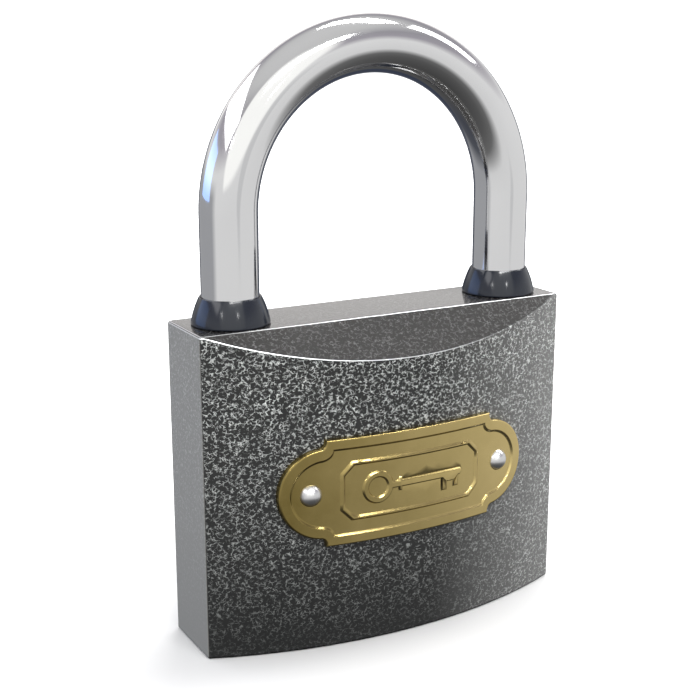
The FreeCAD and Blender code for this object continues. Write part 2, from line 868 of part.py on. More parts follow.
def key_emblem():
    """Plain key lying along the plate: a ring, a shank and two teeth, drawn as solid tools."""
    reach = plate_reach()
    middle = ("-emblem_place", "0", "plate_level")
    ring = cylinder("EmblemRing", "emblem_ring_radius", reach, middle, TO_FRONT)
    eye = cylinder("EmblemEye", "emblem_eye_radius", f"{reach} + cut_overrun", middle, TO_FRONT)
    bow = cut("EmblemBow", ring, eye)
    shank = box(
        "EmblemShank",
        ("emblem_shank_length", reach, "emblem_shank_width"),
        ("-emblem_shank_start", f"-{reach}", "plate_level - emblem_shank_width / 2"),
    )
    teeth = [
        box(
            f"EmblemTooth{number}",
            ("emblem_tooth_width", reach, "emblem_tooth_drop"),
            (str(across), f"-{reach}", "plate_level - emblem_tooth_drop"),
        )
        for number, across in enumerate(EMBLEM_TOOTH_PLACES, start=1)
    ]
    return fuse("EmblemKey", [bow, shank] + teeth)


def make_name_plate():
    """Bent plate with a raised rim, a raised inner frame and a key emblem."""
    blank = plate_prism("PlateBlank", plate_outline)
    base = common("PlateBase", [blank, front_shell("PlateShell", "plate_thickness")])

    def rim(sketch):
        plate_outline(sketch)
        plate_outline(sketch, SIZES["rim_width"])

    def frame(sketch):
        clipped_rectangle(sketch, "0")
        clipped_rectangle(sketch, "frame_width")

    prisms = [plate_prism("RimPrism", rim), plate_prism("FramePrism", frame), key_emblem()]
    relief = fuse("PlateReliefTools", prisms)
    shell = front_shell("ReliefShell", "plate_thickness + relief_height")
    raised = common("PlateRelief", [relief, shell])
    holes = []
    depth = "plate_thickness + 4 * cut_overrun"
    for name, side in (("PlateHoleLeft", -1), ("PlateHoleRight", 1)):
        start = on_front_face(side, f"{face_radius()} - 2 * cut_overrun")
        holes.append(cylinder(name, "rivet_shank_radius", depth, start, rivet_rotation(side)))
    solid = fuse("PlateSolid", [base, raised])
    keep(cut("NamePlate", solid, fuse("PlateHoles", holes)), "name_plate")


def make_rivets():
    """Domed rivets, square to the bent plate."""
    seat = "rivet_shank_length + plate_thickness"
    crown = f"{seat} + rivet_head_height"
    top = sum(SIZES[name] for name in crown.split(" + "))
    for label, side in (("plate_rivet_left", -1), ("plate_rivet_right", 1)):
        body = turned(
            label.title().replace("_", ""),
            [
                ("0", "0"),
                ("rivet_shank_radius", "0"),
                ("rivet_shank_radius", seat),
                ("rivet_head_radius", seat),
                ("rivet_head_radius", crown),
                ("0", crown),
            ],
        )
        soften(
            body,
            "Fillet",
            "rivet_head_height - rivet_rim_height",
            lambda edge: edge.BoundBox.ZMin > top - CLOSE,
        )
        start = on_front_face(side, f"{face_radius()} - rivet_shank_length")
        place(body, start, rivet_rotation(side))
        keep(body, label)


# ---------------------------------------------------------------- check and export


def check_document():
    """Stop on any object that failed to compute."""
    for item in doc.Objects:
        if any(state in ("Invalid", "Error") for state in item.State):
            raise RuntimeError(f"{item.Label} did not compute: {item.State}")


def export_nodes():
    """Check every sub-part, then write one STEP file for each."""
    for item in nodes:
        shape = item.Shape
        if shape.isNull() or not shape.isValid():
            raise RuntimeError(f"{item.Label} has no valid shape")
        if len(shape.Solids) != 1:
            raise RuntimeError(f"{item.Label} has {len(shape.Solids)} solids")
    os.makedirs("parts", exist_ok=True)
    for item in nodes:
        item.Shape.exportStep(f"parts/{item.Label}.step")
    print(f"{len(nodes)} sub-parts written")


make_sheet()
make_casting()
make_collars()
make_shackle()
make_shackle_spring()
make_cross_pin()
make_plug()
make_cam()
make_key_pins()
make_driver_stacks()
make_plug_retainer()
make_bolts()
make_name_plate()
make_rivets()
doc.recompute()
check_document()
export_nodes()
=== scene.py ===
import json
import math

import bmesh
import bpy
import numpy as np
from mathutils import Matrix, Vector
from mathutils.geometry import delaunay_2d_cdt


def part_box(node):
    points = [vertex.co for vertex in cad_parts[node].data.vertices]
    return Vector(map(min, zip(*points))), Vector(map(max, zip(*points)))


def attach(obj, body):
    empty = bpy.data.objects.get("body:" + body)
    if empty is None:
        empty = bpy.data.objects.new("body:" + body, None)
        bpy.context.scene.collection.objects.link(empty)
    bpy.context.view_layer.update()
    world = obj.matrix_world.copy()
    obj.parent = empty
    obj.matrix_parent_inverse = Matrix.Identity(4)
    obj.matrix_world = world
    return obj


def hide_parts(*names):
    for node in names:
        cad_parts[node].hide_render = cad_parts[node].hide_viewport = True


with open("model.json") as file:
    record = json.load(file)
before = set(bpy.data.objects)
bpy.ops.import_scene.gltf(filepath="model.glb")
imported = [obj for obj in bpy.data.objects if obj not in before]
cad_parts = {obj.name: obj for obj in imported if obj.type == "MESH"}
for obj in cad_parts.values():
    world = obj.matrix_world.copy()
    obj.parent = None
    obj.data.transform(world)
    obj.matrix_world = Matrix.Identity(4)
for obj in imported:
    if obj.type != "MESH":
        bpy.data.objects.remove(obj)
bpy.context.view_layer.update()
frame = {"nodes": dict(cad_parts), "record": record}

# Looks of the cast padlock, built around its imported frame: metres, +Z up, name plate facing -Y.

MM = 0.001
PER_METRE = 1 / MM  # millimetres in a metre
SMOOTH_ANGLE = 32.0
LEVEL_TOLERANCE = 0.002 * MM

# ---------------------------------------------------------------- sizes, in metres, from the frame

_, CASTING_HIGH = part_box("body_casting")
HALF_WIDTH = CASTING_HIGH.x
HALF_DEPTH = CASTING_HIGH.y
BODY_TOP = CASTING_HIGH.z
SIDE_HALF_DEPTH = 6.1 * MM
BEVEL_DROP = 5.38 * MM
BODY_ROUND = 0.42 * MM
ROUND_STEPS = 6
BULGE = HALF_DEPTH - SIDE_HALF_DEPTH
FACE_RADIUS = (HALF_WIDTH**2 + BULGE**2) / (2 * BULGE)
FACE_CENTRE = FACE_RADIUS - HALF_DEPTH

SHACKLE_LOW, SHACKLE_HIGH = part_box("shackle")
ROD = (SHACKLE_HIGH.y - SHACKLE_LOW.y) / 2
LEG = SHACKLE_HIGH.x - ROD
ARCH_LEVEL = SHACKLE_HIGH.z - ROD - LEG
HEEL_TIP = SHACKLE_LOW.z
TOE_TIP = 37.3 * MM
TIP_CHAMFER = 0.8 * MM
NECK_RADIUS, NECK_CHAMFER = 2.7 * MM, 0.3 * MM
NECK_BOTTOM, NECK_TOP = 17.75 * MM, 37.5 * MM
BOLT_LEVEL = sum(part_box("bolt_right"), Vector()).z / 2
BOLT_BORE = 2.5 * MM
NOTCH_HALF_HEIGHT = 2.8 * MM
TOE_NOTCH, HEEL_NOTCH = 22.3 * MM, 21.3 * MM

COLLAR_LOW, COLLAR_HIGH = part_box("collar_right")
COLLAR_FOOT = (COLLAR_HIGH.y - COLLAR_LOW.y) / 2
COLLAR_SEAT, COLLAR_SEAT_DEPTH = 5.2 * MM, 4 * MM
COLLAR_BORE = 4.38 * MM
COLLAR_TOP = 4.62 * MM
LEG_BORE = 4.45 * MM
TOE_FLOOR, HEEL_FLOOR = 36.0 * MM, 5.0 * MM

CROSS_PIN_BORE = 1.21 * MM
PLUG_BORE = 5.56 * MM
FLANGE_SEAT = 6.7 * MM
FLANGE_SEAT_DEPTH = 1.6 * MM
CAVITY_ROOF = 45.6 * MM

# the plate is described flat, then bent round the front face; rises are above that face
PLATE_LEVEL = sum(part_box("name_plate"), Vector()).z / 2
PLATE_HALF_LENGTH, PLATE_HALF_HEIGHT = 14.4 * MM, 8.3 * MM
PLATE_END_RADIUS, PLATE_END_PLACE = 7.0 * MM, 14.6 * MM
PLATE_COVE_END = 15.3 * MM
PLATE_BACK, PLATE_FIELD, PLATE_RIM = 0.01 * MM, 0.7 * MM, 1.0 * MM
FRAME_HALF_LENGTH, FRAME_HALF_HEIGHT, FRAME_CLIP = 12.3 * MM, 4.7 * MM, 1.8 * MM
RIVET_PLACE = 16.6 * MM
RIVET_HEAD, RIVET_RISE = 1.7 * MM, 1.1 * MM
RIVET_SHANK, RIVET_DEPTH = 0.9 * MM, 3.5 * MM

# relief profiles: how far in from the outline, and how high above the front face, in millimetres
RIM_PROFILE = (
    (0.00, 0.80), (0.05, 0.91), (0.14, 0.98), (0.26, 1.00),
    (1.58, 1.00), (1.66, 0.97), (1.86, 0.76), (1.94, 0.71), (2.02, 0.70),
)
FRAME_PROFILE = (
    (0.0, 0.70), (0.05, 0.73), (0.24, 0.94), (0.33, 0.98),
    (0.47, 0.98), (0.56, 0.94), (0.75, 0.73), (0.80, 0.70),
)
KEY_PROFILE = ((0.0, 0.70), (0.04, 0.73), (0.20, 0.95), (0.28, 0.98))

# the key on the plate, in millimetres: places lie along the plate, drops are below its centre line
KEY_BOW_PLACE, KEY_BOW_RADIUS, KEY_EYE_RADIUS = -6.2, 2.6, 1.5
KEY_SHANK_HALF, KEY_SHANK_END, KEY_TIP = 0.6, 8.6, 9.1
KEY_COLLAR_START, KEY_COLLAR_END, KEY_COLLAR_HALF = 0.9, 1.6, 1.15
KEY_TEETH = ((8.3, 7.1, 2.3), (6.1, 4.9, 2.6))
KEY_VALLEY_DROP = 1.3

# the camera stands in front, to the left and a little above, and looks along SIGHT
CAMERA_YAW, CAMERA_PITCH = math.radians(29.2), math.radians(14.26)
CAMERA_PLACE = Vector((-99.05, -170.31, 92.6)) * MM
CAMERA_LENS, CAMERA_SENSOR = 66.6, 36.0
SIGHT = Vector((
    math.sin(CAMERA_YAW) * math.cos(CAMERA_PITCH),
    math.cos(CAMERA_YAW) * math.cos(CAMERA_PITCH),
    -math.sin(CAMERA_PITCH),
))


# ---------------------------------------------------------------- mesh helpers


def mesh_object(name, points, faces, smooth_angle=SMOOTH_ANGLE):
    """Mesh object from points and faces, welded, normals outward, edges sharp by angle."""
    mesh = bpy.data.meshes.new(name)
    mesh.from_pydata([tuple(p) for p in points], [], faces)
    bm = bmesh.new()
    bm.from_mesh(mesh)
    bmesh.ops.remove_doubles(bm, verts=bm.verts, dist=1e-7)
    bmesh.ops.dissolve_degenerate(bm, edges=bm.edges, dist=1e-8)
    bmesh.ops.recalc_face_normals(bm, faces=bm.faces)
    bm.to_mesh(mesh)
    bm.free()
    shade(mesh, smooth_angle)
    thing = bpy.data.objects.new(name, mesh)
    bpy.context.scene.collection.objects.link(thing)
    return thing


def shade(mesh, smooth_angle):
    """Smooth shading, with edges sharper than an angle left hard."""
    mesh.polygons.foreach_set("use_smooth", [True] * len(mesh.polygons))
    mesh.set_sharp_from_angle(angle=math.radians(smooth_angle))
    mesh.update()


def weight_normals(thing):
    """Flat faces shade flat, and the narrow rounds between them take the whole turn."""
    modifier = thing.modifiers.new("FaceWeights", "WEIGHTED_NORMAL")
    modifier.weight = 80
    modifier.keep_sharp = True


def skin(rings, count):
    """Four-sided faces that join each ring of points to the next."""
    return [
        (ring * count + i, ring * count + (i + 1) % count,
         (ring + 1) * count + (i + 1) % count, (ring + 1) * count + i)
        for ring in range(rings - 1)
        for i in range(count)
    ]


def end_caps(rings, count):
    """One face over the first ring of points and one over the last."""
    return [tuple(range(count)), tuple(range((rings - 1) * count, rings * count))]


def lathe(name, profile, segments=96):
    """Surface of revolution about Z through pairs of radius and height, capped unless closed."""
    turns = [2 * math.pi * index / segments for index in range(segments)]
    points = [
        (radius * math.cos(turn), radius * math.sin(turn), height)
        for radius, height in profile
        for turn in turns
    ]
    faces = skin(len(profile), segments)
    if profile[0] != profile[-1]:
        faces += end_caps(len(profile), segments)
    return mesh_object(name, points, faces)


def cylinder_tool(radius, start, end, segments=96, mouth=0.0):
    """Cutting cylinder between two points, with its end widened by a mouth if one is given."""
    axis = Vector(end) - Vector(start)
    length = axis.length
    profile = [(radius, 0.0), (radius, length)]
    if mouth:
        overrun = 1.0 * MM
        flare = (radius + mouth + overrun, length + overrun)
        profile = [(radius, 0.0), (radius, length - mouth), flare]
    tool = lathe("tool", profile, segments)
    tool.data.transform(axis.to_track_quat("Z", "Y").to_matrix().to_4x4())
    tool.data.transform(Matrix.Translation(Vector(start)))
    return tool


def box_tool(low, high):
    """Cutting box between two corners."""
    points = [
        (x, y, z) for x in (low[0], high[0]) for y in (low[1], high[1]) for z in (low[2], high[2])
    ]
    faces = [(0, 1, 3, 2), (4, 6, 7, 5), (0, 4, 5, 1), (2, 3, 7, 6), (0, 2, 6, 4), (1, 5, 7, 3)]
    return mesh_object("tool", points, faces)


def carve(thing, tools):
    """Cut the tools out of a solid, one after another, and throw them away."""
    for tool in tools:
        modifier = thing.modifiers.new("Carve", "BOOLEAN")
        modifier.operation = "DIFFERENCE"
        modifier.solver = "EXACT"
        modifier.object = tool
    bpy.context.view_layer.update()
    evaluated = thing.evaluated_get(bpy.context.evaluated_depsgraph_get())
    carved = bpy.data.meshes.new_from_object(evaluated)
    thing.modifiers.clear()
    thing.data = carved
    shade(carved, SMOOTH_ANGLE)
    for tool in tools:
        bpy.data.objects.remove(tool)


def arc_points(centre, radius, start_deg, end_deg, count):
    """Points of a plane arc, ends included."""
    step = (end_deg - start_deg) / count
    turns = [math.radians(start_deg + step * index) for index in range(count + 1)]
    return [(centre[0] + radius * math.cos(t), centre[1] + radius * math.sin(t)) for t in turns]


def dress(thing, material, body, slot, *nodes):
    """Give a piece its material, its body and the CAD nodes that it stands for; the slot is not
    used.
    """
    thing.data.materials.clear()
    thing.data.materials.append(material)
    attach(thing, body)
    if nodes:
        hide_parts(*nodes)


# ---------------------------------------------------------------- body casting


def between(first, second, share):
    """Unit normal part of the way round from one unit normal to another."""
    angle = first.angle(second)
    if angle < 1e-6:
        return first.copy()
    return (
        first * math.sin((1 - share) * angle) + second * math.sin(share * angle)
    ) / math.sin(angle)


def casting_section(across):
    """Centre of the round and outward normal of each point round one slice of the casting."""
    rounded = BODY_ROUND
    bevel_normal = Vector((0, BEVEL_DROP, BULGE)).normalized()
    reach = bevel_normal.y * SIDE_HALF_DEPTH + bevel_normal.z * BODY_TOP - rounded
    face = math.sqrt((FACE_RADIUS - rounded) ** 2 - across**2) - FACE_CENTRE
    tilt = math.asin(across / (FACE_RADIUS - rounded))
    face_normal = Vector((math.sin(tilt), math.cos(tilt), 0))
    ceiling = BODY_TOP - rounded
    shoulder = Vector((across, face, (reach - bevel_normal.y * face) / bevel_normal.z))
    ridge = Vector((across, (reach - bevel_normal.z * ceiling) / bevel_normal.y, ceiling))
    if ridge.y >= face:
        shoulder = ridge = Vector((across, face, ceiling))
    corners = [
        (Vector((across, face, rounded)), Vector((0, 0, -1)), face_normal),
        (shoulder, face_normal, bevel_normal),
        (ridge, bevel_normal, Vector((0, 0, 1))),
    ]
    half = [
        (corner, between(first, second, step / ROUND_STEPS))
        for corner, first, second in corners
        for step in range(ROUND_STEPS + 1)
    ]
    flip = Vector((1, -1, 1))
    mirrored = [(corner * flip, normal * flip) for corner, normal in reversed(half)]
    return half + mirrored


def rolled_rings(side, end):
    """Rings that roll the casting's outline round from one end of its faces to its side face."""
    section = casting_section(side * end)
    outward = Vector((side, 0, 0))
    return [
        [corner + BODY_ROUND * between(normal, outward, step / ROUND_STEPS)
         for corner, normal in section]
        for step in range(1, ROUND_STEPS + 1)
    ]


def casting_rings(stations=120):
    """Rings of points along the casting, with a rolled round at each end."""
    end = HALF_WIDTH - BODY_ROUND
    widest = math.asin(end / (FACE_RADIUS - BODY_ROUND))
    rings = list(reversed(rolled_rings(-1, end)))
    for index in range(stations + 1):
        tilt = widest * (2 * index / stations - 1)
        across = (FACE_RADIUS - BODY_ROUND) * math.sin(tilt)
        section = casting_section(max(-end, min(end, across)))
        rings.append([corner + BODY_ROUND * normal for corner, normal in section])
    return rings + rolled_rings(1, end)


def casting_bores():
    """Tools for every bore of the casting that opens to the outside."""
    overrun = 1 * MM
    above, below = BODY_TOP + overrun, -overrun
    seat = BODY_TOP - COLLAR_SEAT_DEPTH
    pin_low, pin_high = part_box("shackle_retaining_pin")
    pin_x, pin_z = (pin_low.x + pin_high.x) / 2, (pin_low.z + pin_high.z) / 2
    bolt_start, bolt_end = (-LEG, 0, BOLT_LEVEL), (HALF_WIDTH, 0, BOLT_LEVEL)
    pin_start, pin_end = (pin_x, pin_low.y, pin_z), (pin_x, HALF_DEPTH, pin_z)
    return [
        cylinder_tool(LEG_BORE, (LEG, 0, TOE_FLOOR), (LEG, 0, above)),
        cylinder_tool(LEG_BORE, (-LEG, 0, HEEL_FLOOR), (-LEG, 0, above)),
        cylinder_tool(COLLAR_SEAT, (LEG, 0, seat), (LEG, 0, above)),
        cylinder_tool(COLLAR_SEAT, (-LEG, 0, seat), (-LEG, 0, above)),
        cylinder_tool(PLUG_BORE, (0, 0, CAVITY_ROOF), (0, 0, below)),
        cylinder_tool(FLANGE_SEAT, (0, 0, FLANGE_SEAT_DEPTH), (0, 0, 0), mouth=0.25 * MM),
        cylinder_tool(BOLT_BORE, bolt_start, bolt_end, segments=64, mouth=0.12 * MM),
        cylinder_tool(CROSS_PIN_BORE, pin_start, pin_end, segments=48),
    ]


def make_casting():
    """Bulged block with sloped, rounded edges and every bore that opens to the outside."""
    rings = casting_rings()
    count = len(rings[0])
    points = [point for ring in rings for point in ring]
    faces = skin(len(rings), count) + end_caps(len(rings), count)
    casting = mesh_object("lock_body_shell", points, faces)
    carve(casting, casting_bores())
    weight_normals(casting)
    return casting


# ---------------------------------------------------------------- shackle


def shackle_rings(steps=180):
    """Centre, tangent and radius of each ring along the rod, from the heel's foot to the toe."""
    down, up = Vector((0, 0, -1)), Vector((0, 0, 1))
    heel_leg = (
        (HEEL_TIP, ROD - TIP_CHAMFER),
        (HEEL_TIP + TIP_CHAMFER, ROD),
        (NECK_BOTTOM, ROD),
        (NECK_BOTTOM, NECK_RADIUS),
        (NECK_TOP, NECK_RADIUS),
        (NECK_TOP, ROD - NECK_CHAMFER),
        (NECK_TOP + NECK_CHAMFER, ROD),
    )
    toe_leg = ((TOE_TIP + TIP_CHAMFER, ROD), (TOE_TIP, ROD - TIP_CHAMFER))
    rings = [(Vector((-LEG, 0, level)), up, radius) for level, radius in heel_leg]
    for index in range(steps + 1):
        turn = math.pi * (1 - index / steps)
        centre = Vector((LEG * math.cos(turn), 0, ARCH_LEVEL + LEG * math.sin(turn)))
        tangent = Vector((math.sin(turn), 0, -math.cos(turn)))
        rings.append((centre, tangent, ROD))
    return rings + [(Vector((LEG, 0, level)), down, radius) for level, radius in toe_leg]


def make_shackle(segments=112):
    """Round polished bow with its neck, its chamfered tips and a milled notch in each leg."""
    side = Vector((0, 1, 0))
    points = []
    rings = shackle_rings()
    for centre, tangent, radius in rings:
        inward = tangent.cross(side)
        for index in range(segments):
            turn = 2 * math.pi * index / segments
            points.append(centre + radius * (side * math.cos(turn) + inward * math.sin(turn)))
    faces = skin(len(rings), segments) + end_caps(len(rings), segments)
    bow = mesh_object("shackle_bow", points, faces)
    low, high = BOLT_LEVEL - NOTCH_HALF_HEIGHT, BOLT_LEVEL + NOTCH_HALF_HEIGHT
    overrun = 1 * MM
    inner = LEG - ROD - overrun
    wide = 2 * ROD
    tools = [
        box_tool((inner, -wide, low), (TOE_NOTCH, wide, high)),
        box_tool((-HEEL_NOTCH, -wide, low), (-inner, wide, high)),
    ]
    carve(bow, tools)
    weight_normals(bow)
    return bow


# ---------------------------------------------------------------- collars


def make_collar(name, across):
    """Conical bush with rounded rims and a sleeve that sits in the body."""
    foot, top = BODY_TOP, COLLAR_HIGH.z
    sleeve = COLLAR_SEAT - 0.03 * MM
    rim, lip, chamfer, bore_round = 0.28 * MM, 0.10 * MM, 0.2 * MM, 0.06 * MM
    swell, swell_steps = 0.14 * MM, 12
    slope = math.degrees(math.atan2(COLLAR_FOOT - COLLAR_TOP, top - foot))
    slant = math.degrees(4 * swell / (top - foot))
    profile = [
        (COLLAR_BORE, COLLAR_LOW.z + chamfer),
        (COLLAR_BORE + chamfer, COLLAR_LOW.z),
        (sleeve - chamfer, COLLAR_LOW.z),
        (sleeve, COLLAR_LOW.z + chamfer),
        (sleeve, foot),
    ]
    lower = arc_points((COLLAR_FOOT - rim, foot + rim), rim, -90, slope - slant, 8)
    upper = arc_points((COLLAR_TOP - lip, top - lip), lip, slope + slant, 90, 6)
    (x0, z0), (x1, z1) = lower[-1], upper[0]
    profile += lower
    for step in range(1, swell_steps):
        share = step / swell_steps
        out = swell * 4 * share * (1 - share)
        profile.append((x0 + (x1 - x0) * share + out, z0 + (z1 - z0) * share))
    profile += upper
    profile += [(COLLAR_BORE, top - bore_round), profile[0]]
    collar = lathe(name, profile, 128)
    collar.data.transform(Matrix.Translation((across, 0, 0)))
    weight_normals(collar)
    return collar


# ---------------------------------------------------------------- name plate


def plate_outline(inset):
    """Closed outline of the plate moved in by an inset: straight sides, coves and round ends."""
    length = PLATE_HALF_LENGTH - 0.6 * inset
    height = PLATE_HALF_HEIGHT - 0.9 * inset
    cove_end = PLATE_COVE_END + 0.1 * inset
    radius = PLATE_END_RADIUS - inset
    shoulder = math.sqrt(radius**2 - (cove_end - PLATE_END_PLACE) ** 2)
    start = math.atan2(shoulder, cove_end - PLATE_END_PLACE)
    straight_steps, cove_steps, end_steps = 28, 9, 22
    quarter = [(length, height)]
    for step in range(1, cove_steps + 1):
        turn = math.pi / 2 * step / cove_steps
        across = cove_end - (cove_end - length) * math.cos(turn)
        quarter.append((across, height - (height - shoulder) * math.sin(turn)))
    for step in range(1, end_steps + 1):
        turn = start * (1 - step / end_steps)
        quarter.append((PLATE_END_PLACE + radius * math.cos(turn), radius * math.sin(turn)))
    side = quarter + [(x, -z) for x, z in reversed(quarter[:-1])]
    shares = [1 - 2 * step / straight_steps for step in range(1, straight_steps)]
    bottom = [(length * share, -height) for share in shares]
    other = [(-x, -z) for x, z in side]
    top = [(-x, height) for x, _ in bottom]
    return side + bottom + other + top


def clipped_rectangle(inset, spacing=1.0 * MM):
    """Rectangle with clipped corners, moved in by an inset, with points along each side."""
    long_side = FRAME_HALF_LENGTH - inset
    short_side = FRAME_HALF_HEIGHT - inset
    clip = FRAME_CLIP - 0.4 * inset
    right = [
        (long_side, short_side - clip),
        (long_side, -short_side + clip),
        (long_side - clip, -short_side),
    ]
    left = [
        (-long_side + clip, -short_side),
        (-long_side, -short_side + clip),
        (-long_side, short_side - clip),
    ]
    top = [(-long_side + clip, short_side), (long_side - clip, short_side)]
    return spread(right + left + top, spacing)


def spread(corners, spacing):
    """Closed polygon with extra points along its long sides."""
    points = []
    for (x0, z0), (x1, z1) in zip(corners, corners[1:] + corners[:1]):
        count = max(1, round(math.hypot(x1 - x0, z1 - z0) / spacing))
        points += [(x0 + (x1 - x0) * i / count, z0 + (z1 - z0) * i / count) for i in range(count)]
    return points


def key_outline():
    """Outline of a plain key lying along the plate: round bow, collar, shank and two teeth."""
    shank = KEY_SHANK_HALF
    join = math.degrees(math.asin(shank / KEY_BOW_RADIUS))
    bow = arc_points((KEY_BOW_PLACE, 0), KEY_BOW_RADIUS, -join, -360 + join, 56)
    shank_start = KEY_BOW_PLACE + KEY_BOW_RADIUS * math.cos(math.radians(join))
    collar_start, collar_end = shank_start + KEY_COLLAR_START, shank_start + KEY_COLLAR_END
    upper_collar = [
        (collar_start, shank), (collar_start, KEY_COLLAR_HALF),
        (collar_end, KEY_COLLAR_HALF), (collar_end, shank),
    ]
    lower_collar = [(x, -z) for x, z in reversed(upper_collar)]
    tip = [(KEY_SHANK_END, shank), (KEY_TIP, 0.1), (KEY_SHANK_END, -shank)]
    (end_a, start_a, drop_a), (end_b, start_b, drop_b) = KEY_TEETH
    teeth = [
        (end_a, -shank), (end_a, -drop_a), (start_a, -drop_a), (start_a, -KEY_VALLEY_DROP),
        (end_b, -KEY_VALLEY_DROP), (end_b, -drop_b), (start_b, -drop_b), (start_b, -shank),
    ]
    outline = bow + upper_collar + tip + teeth + lower_collar
    return [(x * MM, z * MM) for x, z in outline]


def shrink(polygon, distance):
    """Polygon with each side moved inwards by a distance and its corners mitred."""
    area = sum(x0 * z1 - x1 * z0 for (x0, z0), (x1, z1) in zip(polygon, polygon[1:] + polygon[:1]))
    sense = 1 if area > 0 else -1
    moved = []
    for index, (x, z) in enumerate(polygon):
        before = Vector((x, z)) - Vector(polygon[index - 1])
        after = Vector(polygon[(index + 1) % len(polygon)]) - Vector((x, z))
        first = Vector((-before.y, before.x)).normalized() * sense
        second = Vector((-after.y, after.x)).normalized() * sense
        middle = (first + second).normalized()
        moved.append(tuple(Vector((x, z)) + middle * distance / max(0.35, middle.dot(first))))
    return moved


def inside(polygon, point):
    """True if a point lies in a closed polygon."""
    x, z = point
    result = False
    for (x0, z0), (x1, z1) in zip(polygon, polygon[1:] + polygon[:1]):
        if (z0 > z) != (z1 > z) and x < (x1 - x0) * (z - z0) / (z1 - z0) + x0:
            result = not result
    return result


def plate_loops():
    """Each contour of the relief with its rise: rim, field, frame, key and the key's eye."""
    loops = [(plate_outline(inset * MM), rise * MM) for inset, rise in RIM_PROFILE]
    loops += [(clipped_rectangle(inset * MM), rise * MM) for inset, rise in FRAME_PROFILE]
    key = key_outline()
    loops += [(shrink(key, inset * MM), rise * MM) for inset, rise in KEY_PROFILE]
    for inset, rise in KEY_PROFILE:
        ring = arc_points((KEY_BOW_PLACE, 0), KEY_EYE_RADIUS + inset, 0, 360, 40)[:-1]
        loops.append(([(x * MM, z * MM) for x, z in ring], rise * MM))
    return loops


def filler_points(loops, spacing=1.1 * MM, clearance=0.35 * MM):
    """Grid points on the flat parts of the plate, clear of every contour, with their rises."""
    rim_start, rim_crest, rim_end = RIM_PROFILE[3][0], RIM_PROFILE[4][0], RIM_PROFILE[-1][0]
    outer = plate_outline(rim_start * MM)
    rim_inner = plate_outline(rim_crest * MM)
    field = plate_outline(rim_end * MM)
    key_length, key_height = 9 * MM, 0.6 * MM
    columns, rows = 20, 8
    contour = np.array([point for loop, _ in loops for point in loop])
    found = []
    for column in range(-columns, columns + 1):
        for row in range(-rows, rows + 1):
            point = (column * spacing, (row + 0.5 * (column % 2)) * spacing)
            if not inside(outer, point):
                continue
            if np.min(np.hypot(*(contour - np.array(point)).T)) < clearance:
                continue
            if inside(field, point):
                if abs(point[1]) > key_height or abs(point[0]) > key_length:
                    found.append((point, PLATE_FIELD))
            elif not inside(rim_inner, point):
                found.append((point, PLATE_RIM))
    return found


def on_plate(x, z, rise):
    """Point at a height above the bulged front face."""
    return Vector((x, FACE_CENTRE - math.sqrt((FACE_RADIUS + rise) ** 2 - x**2), PLATE_LEVEL + z))


def sharpen_relief(mesh):
    """Hard edges where a level part of the relief meets a slope."""
    rises = [math.hypot(v.co.x, v.co.y - FACE_CENTRE) for v in mesh.vertices]
    level = {}
    for face in mesh.polygons:
        heights = [rises[index] for index in face.vertices]
        flat = max(heights) - min(heights) < LEVEL_TOLERANCE
        for key in face.edge_keys:
            level.setdefault(key, set()).add(flat)
    for edge in mesh.edges:
        if len(level.get(edge.key, ())) > 1:
            edge.use_edge_sharp = True


def relief_net(loops):
    """Flat points in millimetres, their rises and the edges that the plate's mesh must keep."""
    flat, rises, edges = [], [], []
    for loop, rise in loops:
        first = len(flat)
        flat += [Vector(point) * PER_METRE for point in loop]
        rises += [rise] * len(loop)
        edges += [(first + i, first + (i + 1) % len(loop)) for i in range(len(loop))]
    for point, rise in filler_points(loops):
        flat.append(Vector(point) * PER_METRE)
        rises.append(rise)
    return flat, rises, edges


def make_plate():
    """One continuous stamped plate: rounded rim, sunk field, raised frame and raised key."""
    tolerance, inside_only = 1e-5, 1
    loops = plate_loops()
    flat, rises, edges = relief_net(loops)
    made, _, faces, origins, _, _ = delaunay_2d_cdt(flat, edges, [], inside_only, tolerance)
    points = []
    for point, origin in zip(made, origins):
        rise = rises[origin[0]] if origin else PLATE_FIELD
        points.append(on_plate(point.x * MM, point.y * MM, rise))
    faces = [tuple(face) for face in faces]

    rim = loops[0][0]
    count = len(rim)
    place = {given: index for index, origin in enumerate(origins) for given in origin}
    top = [place[i] for i in range(count)]
    base = len(points)
    points += [on_plate(x, z, PLATE_BACK) for x, z in rim]
    for i in range(count):
        following = (i + 1) % count
        faces.append((top[i], top[following], base + following, base + i))

    outline = [Vector(point) * PER_METRE for point in rim]
    around = [(i, (i + 1) % count) for i in range(count)]
    _, _, back, origins, _, _ = delaunay_2d_cdt(outline, around, [], inside_only, tolerance)
    faces += [tuple(base + origins[i][0] for i in face) for face in back]

    plate = mesh_object("name_plate_relief", points, faces, smooth_angle=50.0)
    sharpen_relief(plate.data)
    weight_normals(plate)
    return plate


